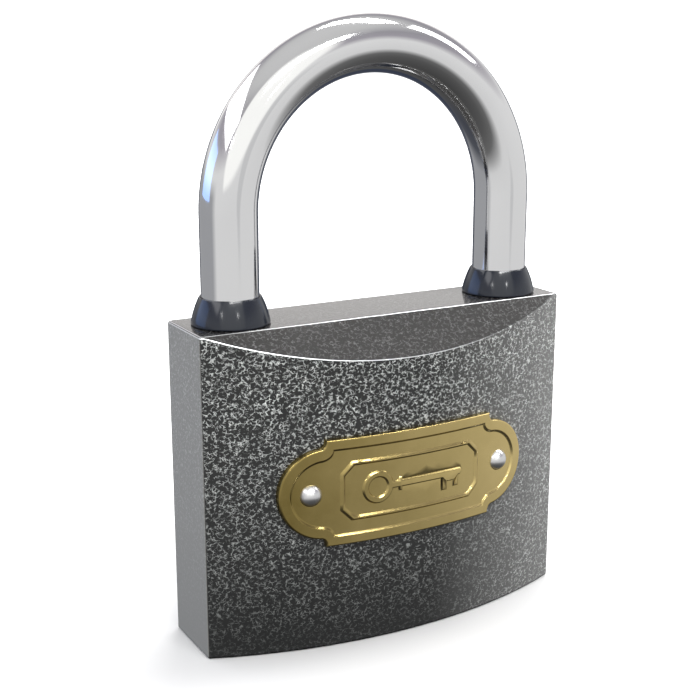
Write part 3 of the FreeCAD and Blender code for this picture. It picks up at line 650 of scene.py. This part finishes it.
def make_rivet(name, side):
    """Domed rivet, square to the bent plate, with the start of its shank below."""
    dome_radius = (RIVET_HEAD**2 + RIVET_RISE**2) / (2 * RIVET_RISE)
    half_angle = math.degrees(math.asin(RIVET_HEAD / dome_radius))
    sunk, edge, chamfer = -0.3 * MM, -0.2 * MM, 0.05 * MM
    shank = [(RIVET_SHANK, -RIVET_DEPTH), (RIVET_SHANK, sunk)]
    rim = [(RIVET_HEAD - chamfer, sunk), (RIVET_HEAD, edge)]
    dome = arc_points((0, RIVET_RISE - dome_radius), dome_radius, 90 - half_angle, 89.5, 20)
    rivet = lathe(name, shank + rim + dome, 64)
    tilt = math.asin(side * RIVET_PLACE / FACE_RADIUS)
    seat = FACE_RADIUS + PLATE_FIELD
    spot = Vector((seat * math.sin(tilt), FACE_CENTRE - seat * math.cos(tilt), PLATE_LEVEL))
    normal = Vector((math.sin(tilt), -math.cos(tilt), 0))
    rivet.data.transform(normal.to_track_quat("Z", "Y").to_matrix().to_4x4())
    rivet.data.transform(Matrix.Translation(spot))
    return rivet


# ---------------------------------------------------------------- materials


class Nodes:
    """Small helper that builds one node tree, of a material or of the world."""

    def __init__(self, owner, shader_kind, output_kind):
        self.owner = owner
        owner.use_nodes = True
        self.tree = owner.node_tree
        self.tree.nodes.clear()
        self.shader = self.tree.nodes.new(shader_kind)
        output = self.tree.nodes.new(output_kind)
        self.link(self.shader.outputs[0], output.inputs["Surface"])

    @classmethod
    def material(cls, name):
        """Empty material with one principled shader."""
        made = bpy.data.materials.new(name)
        return cls(made, "ShaderNodeBsdfPrincipled", "ShaderNodeOutputMaterial")

    def link(self, source, target):
        self.tree.links.new(source, target)

    def give(self, socket, value):
        """Link a socket, or set it to a value."""
        if isinstance(value, bpy.types.NodeSocket):
            self.link(value, socket)
        else:
            socket.default_value = value

    def place(self):
        """Coordinates fixed to the piece, in metres."""
        return self.tree.nodes.new("ShaderNodeTexCoord").outputs["Object"]

    def facing(self):
        """Surface normal fixed to the piece."""
        return self.tree.nodes.new("ShaderNodeTexCoord").outputs["Normal"]

    def parts(self, vector):
        """X, Y and Z of a vector."""
        node = self.tree.nodes.new("ShaderNodeSeparateXYZ")
        self.link(vector, node.inputs[0])
        return node.outputs["X"], node.outputs["Y"], node.outputs["Z"]

    def maths(self, operation, first, second=0.0):
        node = self.tree.nodes.new("ShaderNodeMath")
        node.operation = operation
        self.give(node.inputs[0], first)
        self.give(node.inputs[1], second)
        return node.outputs[0]

    def vector(self, operation, first, second=None, scale=None):
        node = self.tree.nodes.new("ShaderNodeVectorMath")
        node.operation = operation
        self.give(node.inputs[0], first)
        if second is not None:
            self.give(node.inputs[1], second)
        if scale is not None:
            self.give(node.inputs["Scale"], scale)
        scalar = operation in ("DOT_PRODUCT", "LENGTH")
        return node.outputs["Value" if scalar else "Vector"]

    def noise(self, where, scale, detail=2.0, roughness=0.5, output="Fac"):
        node = self.tree.nodes.new("ShaderNodeTexNoise")
        self.give(node.inputs["Vector"], where)
        node.inputs["Scale"].default_value = scale
        node.inputs["Detail"].default_value = detail
        node.inputs["Roughness"].default_value = roughness
        return node.outputs[output]

    def cell_edges(self, where, scale):
        """Distance to the nearest edge between cells, in cells."""
        node = self.tree.nodes.new("ShaderNodeTexVoronoi")
        node.feature = "DISTANCE_TO_EDGE"
        self.give(node.inputs["Vector"], where)
        node.inputs["Scale"].default_value = scale
        return node.outputs["Distance"]

    def ramp(self, share, stops):
        """Colour ramp through pairs of position and grey level or colour."""
        node = self.tree.nodes.new("ShaderNodeValToRGB")
        elements = node.color_ramp.elements
        while len(elements) < len(stops):
            elements.new(0.5)
        for element, (position, level) in zip(elements, stops):
            element.position = position
            element.color = (level, level, level, 1) if isinstance(level, float) else (*level, 1)
        self.give(node.inputs["Fac"], share)
        return node.outputs["Color"]

    def span(self, value, low, high, to_low, to_high):
        """Value carried from one range to another, and held at its ends."""
        node = self.tree.nodes.new("ShaderNodeMapRange")
        for name, given in (("Value", value), ("From Min", low), ("From Max", high),
                            ("To Min", to_low), ("To Max", to_high)):
            self.give(node.inputs[name], given)
        return node.outputs["Result"]

    def mix(self, share, first, second):
        node = self.tree.nodes.new("ShaderNodeMix")
        node.data_type = "RGBA"
        self.give(node.inputs[0], share)
        self.give(node.inputs[6], first)
        self.give(node.inputs[7], second)
        return node.outputs[2]

    def bump(self, height, strength, distance):
        node = self.tree.nodes.new("ShaderNodeBump")
        node.inputs["Strength"].default_value = strength
        node.inputs["Distance"].default_value = distance
        self.give(node.inputs["Height"], height)
        self.link(node.outputs["Normal"], self.shader.inputs["Normal"])

    def shade(self, **values):
        """Set or link the shader's sockets, named with underscores for spaces."""
        for name, value in values.items():
            self.give(self.shader.inputs[name.replace("_", " ")], value)
        return self.owner


def rgb(red, green, blue):
    return (red, green, blue, 1.0)


def grey(level):
    return rgb(level, level, level)


def crazing(n, where):
    """Share of light vein at each place: bent cell edges joined with worm lines, then broken up."""
    tremble = n.noise(where, 1500.0, output="Color")
    drift = n.vector("SUBTRACT", tremble, (0.5, 0.5, 0.5))
    bent = n.vector("ADD", where, n.vector("SCALE", drift, scale=0.7 * MM))
    bent = n.vector("MULTIPLY", bent, (0.74, 1.0, 1.10))
    cell_veins = n.span(n.cell_edges(bent, 1450.0), 0.01, 0.075, 1.0, 0.0)
    worms = n.noise(bent, 1700.0, detail=1.0)
    ridge = n.maths("ABSOLUTE", n.maths("SUBTRACT", worms, 0.5))
    worm_veins = n.span(ridge, 0.003, 0.022, 1.0, 0.0)
    broken = n.span(n.noise(where, 1900.0), 0.43, 0.58, 0.0, 1.0)
    patchy = n.span(n.noise(where, 260.0, detail=3.0), 0.34, 0.66, 0.70, 1.0)
    joined = n.maths("MAXIMUM", cell_veins, worm_veins)
    return n.maths("MULTIPLY", n.maths("MULTIPLY", joined, broken), patchy)


def band(n, value, low, low_full, high_full, high):
    """One between two levels, falling to nothing outside them."""
    rise = n.span(value, low, low_full, 0.0, 1.0)
    return n.maths("MULTIPLY", rise, n.span(value, high_full, high, 1.0, 0.0))


def painted_edge_highlights(n, upward, across, flank):
    """Share of painted highlight on the two top edges, drawn as bright bare metal where the edge
    highlights fall and told from the flats by how far they face up.
    """
    lower_round = band(n, upward, 0.22, 0.36, 0.48, 0.62)
    upper_round = band(n, upward, 0.78, 0.82, 0.95, 0.985)
    lower_reach = n.span(across, -4 * MM, 18 * MM, 1.0, 0.0)
    upper_reach = n.span(across, -26 * MM, 0.0, 0.35, 1.0)
    lower_highlight = n.maths("MULTIPLY", lower_round, lower_reach)
    upper_highlight = n.maths("MULTIPLY", upper_round, upper_reach)
    ends = n.span(flank, 0.0, 1.0, 1.0, 0.25)
    return n.maths("MULTIPLY", n.maths("MAXIMUM", lower_highlight, upper_highlight), ends)


def hammertone():
    """Glossy black paint with broken light veins, faint off the front, with painted light and
    shade: lighter sides and right of the front, veins dimmed low down, a near-black underside and
    painted edge highlights.
    """
    n = Nodes.material("hammertone_paint")
    where = n.place()
    across, _, height = n.parts(where)
    sideways, forward, upward = n.parts(n.facing())
    broad = n.span(n.maths("ABSOLUTE", forward), 0.72, 0.90, 0.0, 1.0)
    flank = n.span(n.maths("ABSOLUTE", sideways), 0.70, 0.95, 0.0, 1.0)
    # Painted light: towards the right the front is painted a lighter grey with brighter veins, as
    # if it caught more light there.
    painted_right_light = n.span(across, 4 * MM, 31 * MM, 0.0, 1.0)
    # Painted shade: the veins are dimmed towards the bottom of the body, as if less light reached
    # it.
    painted_light_by_height = n.span(height, 2 * MM, 40 * MM, 0.08, 1.0)
    shown = n.maths("MAXIMUM", painted_light_by_height, n.maths("MULTIPLY", painted_right_light, 0.8))
    veins = n.maths("MULTIPLY", crazing(n, where), shown)

    clouds = n.noise(where, 60.0, detail=3.0)
    front_paint = n.mix(clouds, rgb(0.005, 0.006, 0.006), grey(0.012))
    front_paint = n.mix(painted_right_light, front_paint, rgb(0.15, 0.15, 0.148))
    # Painted light and shade by facing: the side faces get a lighter paint and veins, as if lit
    # from the left, and the top and bevel get dimmer veins than the front.
    paint_lit_by_facing = n.mix(flank, rgb(0.010, 0.009, 0.008), rgb(0.26, 0.26, 0.245))
    paint = n.mix(broad, paint_lit_by_facing, front_paint)
    veins_lit_by_facing = n.mix(flank, grey(0.12), rgb(0.50, 0.50, 0.48))
    light = n.mix(broad, veins_lit_by_facing, rgb(0.76, 0.79, 0.77))
    colour = n.mix(veins, paint, light)
    # Painted shade: faces that turn downwards, such as the bottom edges, are painted near black.
    painted_underside_shade = n.span(upward, -0.75, -0.15, 1.0, 0.0)
    colour = n.mix(painted_underside_shade, colour, grey(0.004))

    # Painted highlight: a bright bare-metal band along the top edges, where the edge highlights
    # fall.
    painted_edge_glint = painted_edge_highlights(n, upward, across, flank)
    rough_paint = n.span(veins, 0.0, 1.0, 0.42, 0.50)
    n.bump(veins, 0.30, 0.04 * MM)
    return n.shade(
        Base_Color=n.mix(painted_edge_glint, colour, rgb(0.95, 0.96, 0.97)),
        Metallic=painted_edge_glint,
        Roughness=n.maths("SUBTRACT", rough_paint, n.maths("MULTIPLY", painted_edge_glint, 0.14)),
        Coat_Weight=1.0,
        Coat_Roughness=0.05,
        Coat_IOR=1.45,
        Specular_IOR_Level=0.15,
    )


def chrome():
    """Mirror chrome with faint polishing haze."""
    n = Nodes.material("shackle_chrome")
    where = n.place()
    haze = n.noise(where, 90.0, 4.0, 0.6)
    colour = n.mix(haze, rgb(0.78, 0.78, 0.79), grey(0.84))
    n.bump(n.noise(where, 2600.0), 0.02, 0.004 * MM)
    rough = n.span(haze, 0.3, 0.7, 0.045, 0.10)
    return n.shade(Base_Color=colour, Metallic=1.0, Roughness=rough)


def enamel():
    """Glossy blue-black enamel with a soft orange-peel surface."""
    n = Nodes.material("dark_enamel")
    where = n.place()
    clouds = n.noise(where, 180.0, detail=3.0)
    colour = n.mix(clouds, rgb(0.008, 0.011, 0.018), rgb(0.014, 0.017, 0.025))
    n.bump(n.noise(where, 900.0), 0.12, 0.01 * MM)
    return n.shade(
        Base_Color=colour,
        Roughness=n.span(clouds, 0.3, 0.7, 0.14, 0.18),
        Coat_Weight=0.15,
        Coat_Roughness=0.12,
        Specular_IOR_Level=0.45,
    )


def plate_brass():
    """Satin olive-gold brass, painted darker to the left as painted shade, with fine grain, stains
    and scratches.
    """
    n = Nodes.material("plate_brass")
    where = n.place()
    across, _, _ = n.parts(where)
    stains = n.noise(where, 130.0, 4.0, 0.6)
    # Painted shade: the brass is painted darker to the left and lighter to the right; the stain
    # noise added on top is real tone.
    painted_light_and_stains = n.maths("ADD", n.span(across, -20 * MM, 20 * MM, 0.0, 0.8),
                     n.span(stains, 0.3, 0.7, 0.0, 0.2))
    colour = n.mix(painted_light_and_stains, rgb(0.24, 0.180, 0.054), rgb(0.74, 0.585, 0.260))
    grain = n.noise(where, 5200.0)
    stretched = n.vector("MULTIPLY", where, (260.0, 260.0, 9000.0))
    scratches = n.noise(stretched, 1.0, 3.0, 0.65)
    relief = n.maths("ADD", n.maths("MULTIPLY", grain, 0.5), n.maths("MULTIPLY", scratches, 0.5))
    n.bump(relief, 0.05, 0.01 * MM)
    rough = n.span(stains, 0.3, 0.7, 0.20, 0.26)
    return n.shade(Base_Color=colour, Metallic=1.0, Roughness=rough)


def steel(name, base, rough, grain_scale):
    """Plain steel with fine machining grain across its length."""
    n = Nodes.material(name)
    where = n.place()
    clouds = n.noise(where, 240.0, detail=3.0)
    stretched = n.vector("MULTIPLY", where, (grain_scale, grain_scale, 9000.0))
    shaded = rgb(base * 0.86, base * 0.86, base * 0.87)
    colour = n.mix(clouds, shaded, grey(base))
    n.bump(n.noise(stretched, 1.0, detail=3.0), 0.08, 0.01 * MM)
    roughness = n.span(clouds, 0.3, 0.7, rough, rough + 0.08)
    return n.shade(Base_Color=colour, Metallic=1.0, Roughness=roughness)


def turned_brass():
    """Machined brass with turning marks about the upright axis."""
    n = Nodes.material("cylinder_brass")
    where = n.place()
    feed = 0.16 * MM
    across, along, _ = n.parts(where)
    square = n.maths("ADD", n.maths("MULTIPLY", across, across),
                     n.maths("MULTIPLY", along, along))
    turns = n.maths("MULTIPLY", n.maths("SQRT", square), 2 * math.pi / feed)
    clouds = n.noise(where, 300.0, detail=3.0)
    colour = n.mix(clouds, rgb(0.58, 0.42, 0.17), rgb(0.72, 0.55, 0.26))
    n.bump(n.maths("SINE", turns), 0.10, 0.01 * MM)
    rough = n.span(clouds, 0.3, 0.7, 0.22, 0.34)
    return n.shade(Base_Color=colour, Metallic=1.0, Roughness=rough)


# ---------------------------------------------------------------- stage


def stage_mesh(name, points, faces, material):
    """Smooth mesh that isn't part of the object, and that no surface mirrors or is lit by."""
    mesh = bpy.data.meshes.new(name)
    mesh.from_pydata(points, [], faces)
    mesh.polygons.foreach_set("use_smooth", [True] * len(faces))
    thing = bpy.data.objects.new(name, mesh)
    bpy.context.scene.collection.objects.link(thing)
    thing.data.materials.append(material)
    thing.visible_glossy = False
    thing.visible_diffuse = False
    return thing


def floor_white():
    """Pale matt floor that keeps the lock's soft shadow, and glows white away from it; the glow
    fades out towards the lock in a wide ellipse, a painted shadow halo over the real cast shadow.
    """
    n = Nodes.material("pale_floor")
    where = n.place()
    haze = n.noise(where, 3.0)
    # Painted shadow: the glow dies away towards the lock in an ellipse wider across than deep.
    reach = n.vector("LENGTH", n.vector("MULTIPLY", where, (0.50, 1.0, 1.0)))
    return n.shade(
        Base_Color=n.mix(haze, grey(0.56), grey(0.57)),
        Roughness=0.9,
        Emission_Color=grey(1.0),
        Emission_Strength=n.span(reach, 0.014, 0.085, 0.0, 1.0),
    )


def wall_white():
    """Glowing white of the far wall."""
    n = Nodes.material("white_wall")
    haze = n.noise(n.place(), 1.0)
    return n.shade(
        Base_Color=n.mix(haze, grey(0.76), grey(0.78)),
        Roughness=0.9,
        Emission_Color=grey(1.0),
        Emission_Strength=1.0,
    )


def make_floor():
    """Floor just below the lock's bottom face, curved up far behind it."""
    half, front, depth, bend, top, bend_steps = 4.0, -4.0, 3.0, 1.0, 4.0, 16
    sunk = -0.05 * MM
    turns = [math.pi / 2 * step / bend_steps for step in range(1, bend_steps + 1)]
    curve = [(depth + bend * math.sin(t), bend - bend * math.cos(t)) for t in turns]
    profile = [(front, sunk), (depth, sunk)] + curve + [(depth + bend, top)]
    points = [(x, y, z) for y, z in profile for x in (-half, half)]
    faces = [(2 * i, 2 * i + 1, 2 * i + 3, 2 * i + 2) for i in range(len(profile) - 1)]
    stage_mesh("floor", points, faces, floor_white())


def make_backdrop():
    """White wall round the stage, seen by the camera only, so that every view ends in white."""
    radius, foot, top, segments = 4.6, -0.3, 4.2, 64
    turns = [2 * math.pi * index / segments for index in range(segments)]
    points = [
        (radius * math.cos(turn), radius * math.sin(turn), level)
        for level in (foot, top)
        for turn in turns
    ]
    wall = stage_mesh("backdrop_wall", points, skin(2, segments), wall_white())
    wall.visible_shadow = False


def aim(azimuth, elevation=0.0):
    """Unit vector; azimuth 0 is in front of the plate, 90 to its right."""
    a, e = math.radians(azimuth), math.radians(elevation)
    return (math.sin(a) * math.cos(e), -math.cos(a) * math.cos(e), math.sin(e))


def softbox(name, azimuth, elevation, distance, size, power, colour=(1, 1, 1)):
    """Rectangular light that faces the middle of the lock."""
    centre = Vector((0, 0, 45 * MM))
    out = Vector(aim(azimuth, elevation))
    data = bpy.data.lights.new(name, "AREA")
    data.shape = "RECTANGLE"
    data.size, data.size_y = size
    data.energy = power
    data.color = colour
    light = bpy.data.objects.new(name, data)
    light.location = centre + out * distance
    light.rotation_mode = "QUATERNION"
    light.rotation_quaternion = out.to_track_quat("Z", "Y")
    bpy.context.scene.collection.objects.link(light)


# brightness of the surround by height, from straight down at 0 to straight up at 1
SURROUND = (
    (0.0, 0.06), (0.15, 0.10), (0.235, 0.15), (0.29, 0.42), (0.34, 0.74), (0.60, 0.82),
    (0.71, (0.40, 0.38, 0.42)), (0.80, (0.36, 0.35, 0.38)), (0.92, 0.62), (1.0, 0.66),
)


def make_world():
    """Soft studio surround by height, with a bright window in front and dark cards low down."""
    world = bpy.data.worlds.new("studio")
    bpy.context.scene.world = world
    n = Nodes(world, "ShaderNodeBackground", "ShaderNodeOutputWorld")
    direction = n.tree.nodes.new("ShaderNodeTexCoord").outputs["Generated"]
    _, _, height = n.parts(direction)

    def toward(target, *limits):
        return n.span(n.vector("DOT_PRODUCT", direction, tuple(target)), *limits)

    low = n.span(height, 0.02, 0.16, 1.0, 0.0)
    lift = n.maths("MULTIPLY", toward(aim(-110), 0.0, 1.0, 0.0, 0.08), low)
    leaning = n.maths("ADD", height, lift)
    surround = n.ramp(n.span(leaning, -1.0, 1.0, 0.0, 1.0), SURROUND)

    above_floor = n.span(height, 0.02, 0.08, 0.0, 1.0)
    window = n.maths("MULTIPLY", toward(aim(-18, 22), 0.79, 0.84, 0.0, 1.0), above_floor)
    lit = n.mix(window, surround, rgb(1.15, 1.15, 1.12))

    left_card = toward(aim(-140), 0.40, 0.66, 0.0, 0.54)
    thin_card = toward(aim(15), 0.980, 0.988, 0.0, 0.18)
    side_cards = n.maths("MULTIPLY", n.maths("MAXIMUM", left_card, thin_card), low)
    back_card = n.maths("MULTIPLY", toward(SIGHT, 0.76, 0.84, 0.0, 0.90),
                        n.span(height, 0.10, 0.18, 1.0, 0.0))
    cards = n.maths("MAXIMUM", side_cards, back_card)
    n.shade(Color=n.mix(cards, lit, rgb(0.035, 0.045, 0.075)))


def make_camera():
    """Camera in front, to the left and a little above, looking slightly down."""
    data = bpy.data.cameras.new("camera")
    data.lens = CAMERA_LENS
    data.sensor_width = CAMERA_SENSOR
    data.clip_start = 0.005
    data.clip_end = 50.0
    camera = bpy.data.objects.new("camera", data)
    camera.location = CAMERA_PLACE
    camera.rotation_mode = "QUATERNION"
    camera.rotation_quaternion = SIGHT.to_track_quat("-Z", "Y")
    bpy.context.scene.collection.objects.link(camera)
    bpy.context.scene.camera = camera


def make_lights():
    """Soft panels, strips that draw the lines on the edges, and a pair of small lamps in front."""
    softbox("key_left", -116, 42, 1.2, (2.3, 0.42), 8.0)
    softbox("fill_right", 84, 38, 1.2, (0.35, 0.50), 2.6)
    softbox("back_panel", 160, 20, 1.4, (1.6, 0.40), 0.7, (1.0, 0.93, 0.86))
    softbox("brow_strip", -2, 47, 0.9, (0.60, 0.14), 6.0)
    softbox("top_strip", 122, 66, 0.9, (0.6, 0.16), 8.0)
    softbox("blue_panel", -124, 12, 1.0, (0.80, 0.42), 1.3, (0.20, 0.42, 1.0))
    softbox("twin_left", -54, 25, 0.8, (0.05, 0.02), 0.16)
    softbox("twin_right", -2, 25, 0.8, (0.05, 0.02), 0.16)


# ---------------------------------------------------------------- build


def build_object():
    """Make the visible pieces, and dress every CAD node that is kept."""
    paint, mirror, black = hammertone(), chrome(), enamel()
    brass, cylinder = plate_brass(), turned_brass()
    head = steel("rivet_steel", 0.80, 0.24, 900.0)
    inner = steel("inner_steel", 0.55, 0.30, 700.0)
    wire = steel("spring_steel", 0.48, 0.28, 700.0)
    dress(make_casting(), paint, "lock_body", "hammertone_paint", "body_casting")
    dress(make_shackle(), mirror, "bow", "shackle_chrome", "shackle")
    for side, across in (("left", -LEG), ("right", LEG)):
        collar = make_collar(f"{side}_collar_bush", across)
        dress(collar, black, "lock_body", "dark_enamel", f"collar_{side}")
    dress(make_plate(), brass, "lock_body", "plate_brass", "name_plate")
    for side, sign in (("left", -1), ("right", 1)):
        rivet = make_rivet(f"{side}_rivet_head", sign)
        dress(rivet, head, "lock_body", "rivet_steel", f"plate_rivet_{side}")
    by_slot = {
        "hammertone_paint": paint, "cylinder_brass": cylinder, "inner_steel": inner,
        "spring_steel": wire,
    }
    for entry in frame["record"]["subparts"]:
        node = frame["nodes"][entry["node"]]
        if node.hide_render:
            continue
        node.data.materials.clear()
        node.data.materials.append(by_slot[entry["material_slot"]])


build_object()
make_floor()
make_backdrop()
make_world()
make_lights()
make_camera()
bpy.context.scene.view_settings.view_transform = "Standard"
